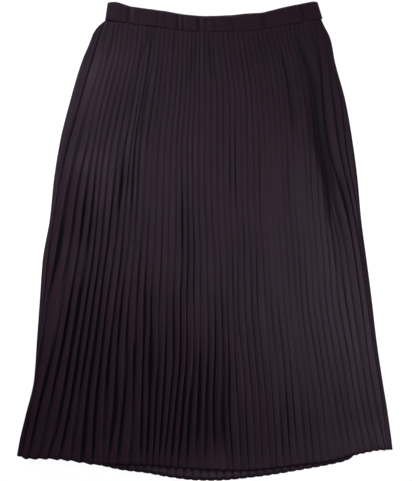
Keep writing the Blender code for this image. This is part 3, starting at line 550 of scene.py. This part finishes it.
def streaks(x, drop):
    # how much painted shade the soft creases get there, and how deep they are
    dark, deep = np.zeros_like(x), np.zeros_like(x)
    for darkness, depth, line in frontPanel["streaks"].values():
        drops, places, halves = np.array(line).T
        end = (drops[-1] - drops[0]) * 0.16
        along = smoothStep((drop - drops[0]) / end + 0.5) * smoothStep((drops[-1] - drop) / end + 0.5)
        away = (x - edgeCurve(zip(drops, places))(drop)) / (2 * edgeCurve(zip(drops, halves))(drop))
        dark = np.maximum(dark, darkness * along * bump(away))
        deep = np.maximum(deep, depth * along * bump(away))
    return dark, deep


def tuckUnderBand(rows, marks, flatten=0):
    # one more row above the seam, hidden by the waistband
    points = np.array(rows)
    top = points[-1].copy()
    top[:, 1] += frontPanel["tuck"]
    if flatten:
        top[:, 2] = mix(top[:, 2].min(), top[:, 2], flatten)
    marks = {mark: np.array(values + values[-1:]) for mark, values in marks.items()}
    return np.concatenate([points, top[None]]), marks


def makeFrontPanel():
    shares = rowShares(frontPanel["rows"])[::-1]  # hem first
    count = len(foldNumbers)
    stray = wander(3, count, 7, shares) * frontPanel["wander"]
    uneven = 1 + frontPanel["unevenness"] * wander(5, count, 6, shares)
    shade = frontPanel["patchiness"] * wander(7, count, 9, shares)
    widths = 1 + frontPanel["widthPatchiness"] * wander(9, count, 8, shares)
    heights = foldCurves(frontPanel["faces"])
    returns = foldCurves(frontPanel["returns"])
    sideFold = edgeCurve(frontPanel["sideFold"])
    fringe = frontPanel["fringe"]
    fadeFrom, fadeOver = frontPanel["sideFade"]
    rows, ridges, sides, insides = [], [], [], []
    for index, share in enumerate(shares):
        x, drops = settle(frontHem, share)
        level = float(backTop(share)) + mix(*frontPanel["clear"], float(smoothStep((share - 0.9) / 0.1)))
        line = x[1:-1] + stray[:, index] * min(1, share * 12)
        pitch = np.gradient(x)[1:-1]
        height = np.array([float(curve(drop)) for curve, drop in zip(heights, drops[1:-1])])
        height *= uneven[:, index]
        taller, wider, darker = accents(drops[1:-1])
        height *= taller
        far = np.array([float(curve(drop)) for curve, drop in zip(returns, drops[1:-1])])
        far = far * pitch * wider
        far *= np.clip(widths[:, index], 0.6, 1.5)
        room = np.minimum(line - x[0], x[-1] - line)
        crowded = np.clip(pitch / frontPanel["fullPitch"], 0.1, 1)
        height *= np.clip((room - fadeFrom) / fadeOver, 0.05, 1) * crowded
        shadow = height / (1 / frontPanel["shade"] + height / pitch)
        ridge = line - np.maximum(shadow, far) / 2
        valley = ridge + far
        side = float(sideFold(drops[0])) * min(1, max(0, (line[0] - x[0] - 0.002) / 0.010))
        low, crest = float(backTop(share)), level + side
        across = [(x[0], low, 0.4, 0), (x[0] + fringe, mix(low, level, 0.6), 0.5, 0)]
        valley[0] = line[0] + 0.1 * pitch[0]
        # the inside of each pleat gets painted shade, more the higher it stands, varied at random along it
        # and faded at the hem
        hidden = np.clip(height / frontPanel["deep"], 0, 1) ** 0.35
        hidden = hidden * np.clip(1 + shade[:, index], 0.35, 1.3)
        hidden *= darker * (1 - frontPanel["hemFade"] * float(smoothStep((share - 0.955) / 0.040)))
        for a, b in frontPanel["sideProfile"]:
            across.append((mix(x[0] + fringe, valley[0], a), mix(level, crest, b), b, 0))
        for k in range(1, count):
            wide = ridge[k] - valley[k - 1]
            for a, b in frontPanel["profile"]:
                # painted fold shade fades out over the first third of a face from its valley and covers
                # the whole far side
                dark = hidden[k] * max(0, 1 - 3 * a)
                across.append((valley[k - 1] + a * wide, level + b * height[k], b, dark))
            for a, b in frontPanel["returnProfile"]:
                across.append((mix(ridge[k], valley[k], a), level + b * height[k], b, hidden[k]))
        wide = x[-1] - valley[-1]
        for a, b in frontPanel["rightProfile"]:
            across.append((valley[-1] + a * wide, level + b * frontPanel["rightHeight"], b, 0))
        across += [(x[-1] - fringe, mix(low, level, 0.5), 0.4, 0), (x[-1], low, 0.4, 0)]
        px, pz, tall, inside = np.array(across).T
        drop = mix(waistSeam(px), frontHem(px) - skirt["tooth"] * (1 - tall), share)
        dark, deep = streaks(px, drop)
        pz = pz + relief(px, drop) - deep
        rows.append(np.column_stack([px, -drop, pz]))
        # the creases' painted shade goes into inside, and the ridges' lighter tone is kept off them
        ridges.append(tall * (1 - dark))
        insides.append(np.maximum(inside, dark))
        sides.append(np.minimum(px - x[0], x[-1] - px))
    marks = {"ridge": ridges, "inside": insides, "side": sides}
    points, marks = tuckUnderBand(rows, marks, flatten=0.5)
    piece = gridPiece("frontPanel", points, clothPlaces(points), marks)
    giveThickness(piece, frontPanel["cloth"])
    print("front panel:", points.shape[0], "rows of", points.shape[1])
    return piece


def makeBackPanel():
    hem = edgeCurve(backPanel["hem"])
    shares = rowShares(backPanel["rows"])[::-1]
    count = backPanel["pleats"]
    floor = backPanel["cloth"] / 2 + 0.0001  # the middle of its wall, just above the table
    steep, shallow = backPanel["sideTurn"]
    rows, ridges, sides, insides = [], [], [], []
    for share in shares:
        x, drops = settle(hem, share)
        left, right = x[0], x[-1]
        top = float(backTop(share))
        depth = top - backPanel["clear"]
        pitch = (right - left) / count
        across = [(left, top, 0.5, 0), (left + steep, top * 0.6, 0.5, 0)]
        across.append((left + shallow, top * 0.25, 0.2, 0))
        for k in range(count):
            start = left + (k + backPanel["phase"]) * pitch
            steps = backPanel["profile"][:6 if k == count - 1 else None]
            across += [(start + a * pitch, floor + b * depth, b, dark) for a, b, dark in steps]
        across += [(right - shallow, floor + depth * 0.7, 0.7, 0), (right, top, 0.5, 0)]
        px, pz, height, inside = np.array(across).T
        drop = mix(waistSeam(px), hem(px), share)
        past = drop - frontHem(px)
        spread = smoothStep((past + backPanel["openFrom"]) / backPanel["openOver"])
        drop -= backPanel["tooth"] * (1 - height) * share
        height = 1 - (1 - height) * (1 - backPanel["open"] * spread)
        lift = backPanel["lift"] * smoothStep(past / backPanel["liftOver"])
        pz = mix(pz, floor + height * depth + lift, spread)
        rows.append(np.column_stack([px, -drop, pz]))
        ridges.append(np.array(across)[:, 2])
        # inside holds how much painted shade each place of a fold gets
        insides.append(inside)
        sides.append(np.minimum(px - left, right - px))
    marks = {"ridge": ridges, "inside": insides, "side": sides}
    points, marks = tuckUnderBand(rows, marks)
    piece = gridPiece("backPanel", points, clothPlaces(points), marks, outwards=-1)
    giveThickness(piece, backPanel["cloth"])
    print("back panel:", points.shape[0], "rows of", points.shape[1])
    return piece


def gatherDepth(gathers, x, up):
    # how deep the gathers are at x, that share of the way up the band
    dips = []
    for place, depth, wide, lean in gathers:
        dips.append(depth * float(bump(np.array((x - place - lean * up) / (2 * wide)))))
    return sum(dips)


def makeWaistBand():
    topLine = edgeCurve(waistBand["top"])
    left, right = waistBand["ends"]["seam"]
    half = (waistBand["frontLevel"] - waistBand["cloth"]) / 2
    middle = waistBand["frontLevel"] - half
    straight = right - left - 2 * half
    turn = math.pi * half
    loop = np.linspace(0, 2 * (straight + turn), waistBand["around"] + 1)
    rows, grooves, rims = [], [], []
    for up, pull in waistBand["profile"]:
        row, grooveShade, rimShade = [], [], []
        for s in loop:
            if s < straight:
                x, z, side = left + half + s, middle + half, 1
            elif s < straight + turn:
                a = (s - straight) / half
                x, z, side = right - half + half * math.sin(a), middle + half * math.cos(a), math.cos(a)
            elif s < 2 * straight + turn:
                x, z, side = right - half - (s - straight - turn), middle - half, -1
            else:
                a = (s - 2 * straight - turn) / half
                x, z, side = left + half - half * math.sin(a), middle - half * math.cos(a), -math.cos(a)
            gathers = waistBand["frontGathers"] if side > 0 else waistBand["backGathers"]
            dip = gatherDepth(gathers, x, up)
            z -= side * (pull + dip * abs(side))
            across = (x - left) / (right - left)
            topX = mix(*waistBand["ends"]["top"], across)
            rear = max(0, -side) * math.sin(math.pi * min(max(across, 0), 1))
            topDrop = float(topLine(topX)) - waistBand["rearRise"] * rear
            drop = mix(float(waistSeam(x)), topDrop, up)
            row.append((mix(x, topX, up), -drop, z))
            # how much painted shade each gather's dip gets
            grooveShade.append(dip / waistBand["fullGroove"])
            # the rear wall and the top fold get painted shade
            rimShade.append(1 if side < 0.5 or up == 1 else 0)
        rows.append(row)
        grooves.append(grooveShade)
        rims.append(rimShade)
    points = np.array(rows)
    points[:, -1] = points[:, 0]
    marks = {"grooveShade": np.array(grooves), "rimShade": np.array(rims)}
    piece = gridPiece("waistBand", points, clothPlaces(points), marks, closed=True)
    giveThickness(piece, waistBand["cloth"], -1)
    print("waistband:", points.shape[0], "rows of", points.shape[1])
    return piece


front = makeFrontPanel()
back = makeBackPanel()
band = makeWaistBand()

# The garment moves to where the frame holds it
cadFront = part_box("front_panel")
ownLow = Vector(map(min, *[corner.co for corner in front.data.vertices]))
ownHigh = Vector(map(max, *[corner.co for corner in front.data.vertices]))
shift = (cadFront[0] + cadFront[1] - ownLow - ownHigh) / 2
shift.z = 0
for piece in (front, back, band):
    for corner in piece.data.vertices:
        corner.co += shift
print("shift", shift)


class wire:
    # a socket that takes part in sums, so a material reads like a formula
    def __init__(self, board, socket):
        self.board = board
        self.socket = socket

    def sum(self, operation, first, second=0.0):
        return self.board.node("ShaderNodeMath", {"operation": operation}, {0: first, 1: second})

    def __add__(self, other):
        return self.sum("ADD", self, other)

    def __sub__(self, other):
        return self.sum("SUBTRACT", self, other)

    def __rsub__(self, other):
        return self.sum("SUBTRACT", other, self)

    def __mul__(self, other):
        return self.sum("MULTIPLY", self, other)

    __radd__ = __add__
    __rmul__ = __mul__


class fabric:
    # one material and the nodes on it
    def __init__(self, name):
        self.material = bpy.data.materials.new(name)
        self.material.use_nodes = True
        self.tree = self.material.node_tree
        self.shader = self.tree.nodes["Principled BSDF"]

    def feed(self, socket, value):
        if isinstance(value, wire):
            self.tree.links.new(value.socket, socket)
        else:
            socket.default_value = value

    def node(self, kind, settings, sockets, out=0):
        made = self.tree.nodes.new(kind)
        for name, value in settings.items():
            setattr(made, name, value)
        for name, value in sockets.items():
            self.feed(made.inputs[name], value)
        return wire(self, made.outputs[out])

    def mark(self, name):
        return self.node("ShaderNodeAttribute", {"attribute_name": name}, {}, "Fac")

    def ramp(self, value, low, high):
        # 0 at low, 1 at high, smooth between
        smooth = {"interpolation_type": "SMOOTHSTEP"}
        return self.node("ShaderNodeMapRange", smooth, {0: value, 1: low, 2: high})

    def blend(self, share, low, high):
        return self.node("ShaderNodeMix", {"data_type": "RGBA"}, {0: share, 6: low, 7: high}, 2)

    def noise(self, place, across, down, detail=2.0):
        # a cloud with patches of that size in metres
        size = (1 / across, 1 / down, 0)
        scaled = self.node("ShaderNodeVectorMath", {"operation": "MULTIPLY"}, {0: place, 1: size})
        cloud = {"Vector": scaled, "Scale": 1.0, "Detail": detail}
        return self.node("ShaderNodeTexNoise", {"noise_dimensions": "2D"}, cloud)

    def bands(self, along, pitch):
        # an even wave between 0 and 1
        turns = along * (2 * math.pi / pitch)
        return self.node("ShaderNodeMath", {"operation": "SINE"}, {0: turns}) * 0.5 + 0.5


crepeLook = {
    "cloth": (0.0094, 0.0041, 0.0064, 1),
    "wornAndHighlight": (0.0118, 0.0062, 0.0086, 1),  # a lighter tone in random streaks; along the ridges partly wear and partly a painted highlight
    "grooveShade": (0.0026, 0.0016, 0.0026, 1),  # painted shade colour down in the folds and on the painted shade lines; stitches use it too
    "deepestShade": (0.0010, 0.0006, 0.0009, 1),  # deeper painted shade where a fold is marked as almost closed
    "roughness": 0.37,
    "specular": 0.045,
    "yarn": 0.0005,  # metres from yarn to yarn
    "yarnRelief": 0.00005,
    "hemTurn": 0.006,  # depth of the narrow hem
    "stitch": 0.0022,  # length of one stitch and its gap
    "edge": 0.0036,  # width of the painted shade line along the sides, where the cloth turns down
    "cloud": (0.060, 0.090),  # patches of rougher cloth, across and down
    "fleck": (0.0016, 0.0030),
    "streak": (0.0018, 0.120, 3.0),
    "lineWidth": (0.0006, 0.0018),  # a painted shade line at an edge, full and gone this far from it
    "stitchWidth": 0.0000008,  # half the stitch line's width, squared
}


def crepeCloth(name, pleated):
    sheet = fabric(name)
    place = sheet.node("ShaderNodeUVMap", {"uv_map": "cloth"}, {})
    across = sheet.node("ShaderNodeSeparateXYZ", {}, {0: place})
    down = wire(sheet, across.socket.node.outputs[1])
    cloud = sheet.noise(place, *crepeLook["cloud"])
    fleck = sheet.noise(place, *crepeLook["fleck"])
    streak = sheet.noise(place, *crepeLook["streak"])
    colour = sheet.blend(sheet.ramp(streak, 0.35, 0.75) * 0.35, crepeLook["cloth"], crepeLook["wornAndHighlight"])
    rough = crepeLook["roughness"] + (fleck - 0.5) * 0.05 + (cloud - 0.5) * 0.05
    yarnAcross = sheet.bands(across, crepeLook["yarn"])
    yarnDown = sheet.bands(down, crepeLook["yarn"] * 1.2)
    relief = (yarnAcross * yarnDown + fleck) * crepeLook["yarnRelief"]
    if pleated:
        ridge = sheet.mark("ridge")
        side = sheet.mark("side")
        # ridges get the lighter tone, partly as wear and partly as a painted highlight
        wornAndHighlight = sheet.ramp(ridge, 0.86, 1.0) * sheet.ramp(streak, 0.30, 0.60)
        # painted shade inside the folds, and deeper painted shade where a fold is marked as almost closed
        deep = sheet.ramp(sheet.mark("inside"), 0.0, 1.0)
        deepestShade = sheet.ramp(sheet.mark("inside"), 0.72, 1.0)
        colour = sheet.blend(wornAndHighlight * 0.25, colour, crepeLook["wornAndHighlight"])
        colour = sheet.blend(deep, colour, crepeLook["grooveShade"])
        colour = sheet.blend(deepestShade * 0.8, colour, crepeLook["deepestShade"])
        # painted shade along the sides, where the cloth turns down
        outline = 1 - sheet.ramp(side, 0.0012, crepeLook["edge"])
        colour = sheet.blend(outline * 0.9, colour, crepeLook["grooveShade"])
        rough = rough - wornAndHighlight * 0.03 + deep * 0.28 + deepestShade * 0.26 + outline * 0.28
        hem = (down - crepeLook["hemTurn"]) * (down - crepeLook["hemTurn"])
        line = 1 - sheet.ramp(hem, 0.0, crepeLook["stitchWidth"])
        stitch = line * sheet.ramp(sheet.bands(across, crepeLook["stitch"]), 0.35, 0.65)
        colour = sheet.blend(stitch * 0.5, colour, crepeLook["grooveShade"])
        relief = relief - line * 0.00010 + stitch * 0.00016
        relief = relief + (1 - sheet.ramp(down, 0.0, crepeLook["hemTurn"])) * 0.00015
        # a painted shade line along the hem's edge
        edge = 1 - sheet.ramp(down, *crepeLook["lineWidth"])
        colour = sheet.blend(edge * 0.3, colour, crepeLook["grooveShade"])
    else:
        # painted shade in the dips of the gathers
        grooveShade = sheet.mark("grooveShade")
        colour = sheet.blend(sheet.ramp(grooveShade, 0.0, 1.3) * 0.75, colour, crepeLook["grooveShade"])
        # a painted shadow along the seam at the band's lower edge, broken into dashes
        seam = 1 - sheet.ramp(down, *crepeLook["lineWidth"])
        dash = sheet.ramp(sheet.noise(place, 0.004, 0.05), 0.40, 0.60)
        colour = sheet.blend(seam * (0.1 + dash * 0.4), colour, crepeLook["grooveShade"])
        # painted shade on the band's rear wall and top fold
        rimShade = sheet.ramp(sheet.mark("rimShade"), 0.0, 1.0)
        colour = sheet.blend(rimShade * 0.9, colour, crepeLook["grooveShade"])
        relief = relief - seam * 0.0001
    weave = sheet.node("ShaderNodeBump", {}, {"Strength": 1.0, "Distance": 1.0, "Height": relief})
    sheet.feed(sheet.shader.inputs["Base Color"], colour)
    sheet.feed(sheet.shader.inputs["Roughness"], rough)
    sheet.feed(sheet.shader.inputs["Normal"], weave)
    sheet.feed(sheet.shader.inputs["Specular IOR Level"], crepeLook["specular"])
    print(name + ":", len(sheet.tree.nodes), "nodes")
    return sheet.material


pleatedCrepe = crepeCloth("pleatedCrepe", True)
bandCrepe = crepeCloth("bandCrepe", False)
dressed = (
    (front, "front_panel", "front_cloth", pleatedCrepe),
    (back, "back_panel", "back_cloth", pleatedCrepe),
    (band, "waistband", "band_cloth", bandCrepe),
)
for piece, node, slot, crepe in dressed:
    piece.data.materials.append(crepe)
    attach(piece, "root")
    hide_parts(node)


table = {
    "size": 12,  # half its width
    "colour": (0.12, 0.12, 0.12, 1),
    "glow": 0.90,  # nearly all its white is its own light, so the skirt throws next to no shadow
}


def makeStage():
    work = bmesh.new()
    bmesh.ops.create_grid(work, x_segments=1, y_segments=1, size=table["size"])
    mesh = bpy.data.meshes.new("floor")
    work.to_mesh(mesh)
    work.free()
    floor = bpy.data.objects.new("floor", mesh)
    bpy.context.scene.collection.objects.link(floor)
    paint = bpy.data.materials.new("paleFloor")
    paint.use_nodes = True
    shader = paint.node_tree.nodes["Principled BSDF"]
    shader.inputs["Base Color"].default_value = table["colour"]
    shader.inputs["Roughness"].default_value = 0.9
    shader.inputs["Specular IOR Level"].default_value = 0.0
    shader.inputs["Emission Color"].default_value = (1, 1, 1, 1)
    shader.inputs["Emission Strength"].default_value = table["glow"]
    mesh.materials.append(paint)


def areaLight(name, place, aim, size, spread, power):
    light = bpy.data.lights.new(name, "AREA")
    light.shape = "DISK"
    light.size = size
    light.energy = power
    light.spread = math.radians(spread)
    light.color = lightColour
    lamp = bpy.data.objects.new(name, light)
    lamp.location = place
    lamp.rotation_euler = (Vector(aim) - Vector(place)).to_track_quat("-Z", "Y").to_euler()
    bpy.context.scene.collection.objects.link(lamp)


# The narrow ones are aimed at single parts of the skirt and suit the view from above
lightColour = (0.96, 0.97, 1.12)
skyLight = 0.05
studio = {  # name: place, aim, size, spread in degrees, watts
    "key": ((-1.25, 2.05, 0.85), (-0.25, 0.10, 0), 0.6, 50, 10.2),
    "north": ((0.7, 2.2, 0.9), (0, 0, 0), 0.6, 180, 36),
    "upperLeft": ((-1.1, 1.1, 1.6), (0, 0, 0), 0.3, 180, 15),
    "leftFill": ((-0.70, 0.26, 1.6), (-0.24, 0.10, 0), 0.3, 24, 0.38),
    "crestFill": ((0.36, 0.27, 1.6), (0.18, 0.10, 0), 0.3, 22, 0.13),
    "overhead": ((0.52, -0.30, 1.6), (0.20, -0.20, 0), 0.35, 70, 4.6),
}
makeStage()
for name, (place, aim, size, spread, power) in studio.items():
    areaLight(name, place, aim, size, spread, power)
world = bpy.data.worlds.new("studio")
world.use_nodes = True
world.node_tree.nodes["Background"].inputs["Color"].default_value = (1, 1, 1, 1)
world.node_tree.nodes["Background"].inputs["Strength"].default_value = skyLight
bpy.context.scene.world = world
bpy.context.scene.view_settings.view_transform = "Standard"
print("lights:", ", ".join(studio))

lens = bpy.data.cameras.new("camera")
lens.sensor_fit = "VERTICAL"
lens.sensor_height = view["sensor"]
lens.lens = view["sensor"] * view["height"] / view["span"]
camera = bpy.data.objects.new("camera", lens)
centreX, centreDrop = view["centre"]
camera.location = (centreX + shift.x, shift.y - centreDrop, view["height"] + view["level"])
bpy.context.scene.collection.objects.link(camera)
bpy.context.scene.camera = camera
